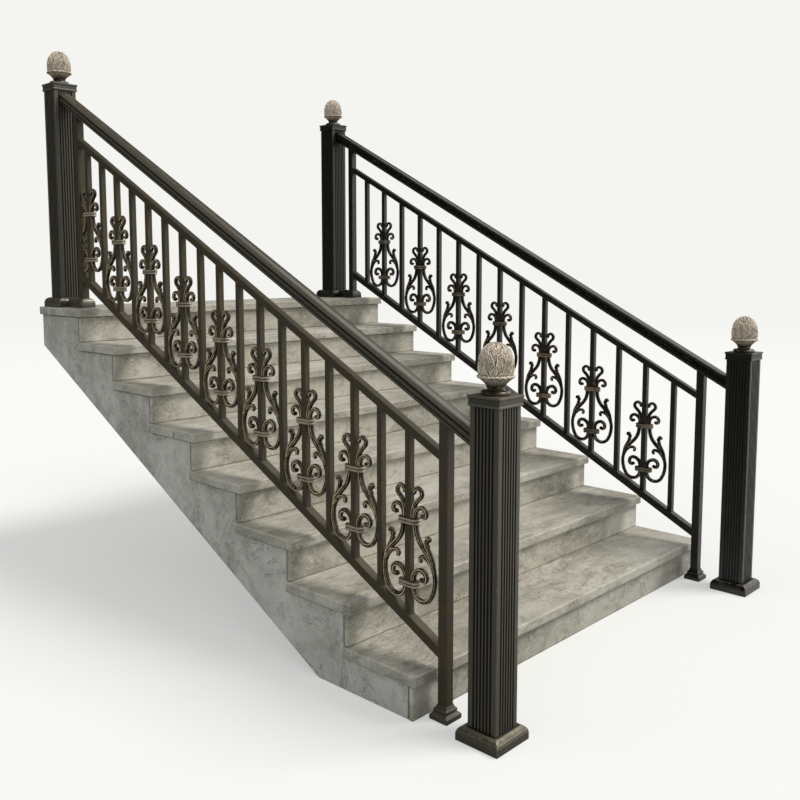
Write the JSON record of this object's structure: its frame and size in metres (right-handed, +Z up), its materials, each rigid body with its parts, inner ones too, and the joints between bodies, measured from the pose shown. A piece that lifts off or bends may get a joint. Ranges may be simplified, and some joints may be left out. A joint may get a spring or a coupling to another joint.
{
  "type": "stair balustrade pair on stone steps",
  "caption": "Straight stone stair flight with a pair of dark metal balustrades: fluted newels, carved finials, moulded handrails and bronze scroll ornaments.",
  "frame": {"origin": "on the flat underside of the flight's foot, in the middle of its width, 200 mm behind the first riser face", "axes": "+X across the flight to the right of someone who walks up, +Y up the flight, +Z up"},
  "size_m": [1.916, 2.726, 2.384],
  "materials": {
    "marble": "honed, grey beige with pale veins",
    "carved_stone": "matt, carved, darker in the recesses",
    "dark_metal": "satin dark bronze coat, rubbed paler on its edges",
    "bronze_scroll": "antique bronze, rubbed bright on raised edges",
    "rubbed_collar": "pale rubbed bronze"
  },
  "bodies": {
    "root": {"flight_body": "marble", "risers": "marble", "tread_1": "marble", "tread_2": "marble", "tread_3": "marble", "tread_4": "marble", "tread_5": "marble", "tread_6": "marble", "tread_7": "marble", "tread_8": "marble", "bottom_newel_left": "dark_metal", "bottom_newel_base_left": "dark_metal", "bottom_newel_cap_left": "dark_metal", "top_newel_left": "dark_metal", "top_newel_base_left": "dark_metal", "top_newel_cap_left": "dark_metal", "finial_necks_left": "dark_metal", "finials_left": "carved_stone", "bottom_post_left": "dark_metal", "bottom_post_foot_left": "dark_metal", "top_post_left": "dark_metal", "handrail_left": "dark_metal", "upper_rail_left": "dark_metal", "bottom_rail_left": "dark_metal", "balusters_left": "dark_metal", "scrolls_left": "bronze_scroll", "collars_left": "rubbed_collar", "bottom_newel_right": "dark_metal", "bottom_newel_base_right": "dark_metal", "bottom_newel_cap_right": "dark_metal", "top_newel_right": "dark_metal", "top_newel_base_right": "dark_metal", "top_newel_cap_right": "dark_metal", "finial_necks_right": "dark_metal", "finials_right": "carved_stone", "bottom_post_right": "dark_metal", "bottom_post_foot_right": "dark_metal", "top_post_right": "dark_metal", "handrail_right": "dark_metal", "upper_rail_right": "dark_metal", "bottom_rail_right": "dark_metal", "balusters_right": "dark_metal", "scrolls_right": "bronze_scroll", "collars_right": "rubbed_collar"}
  },
  "joints": []
}
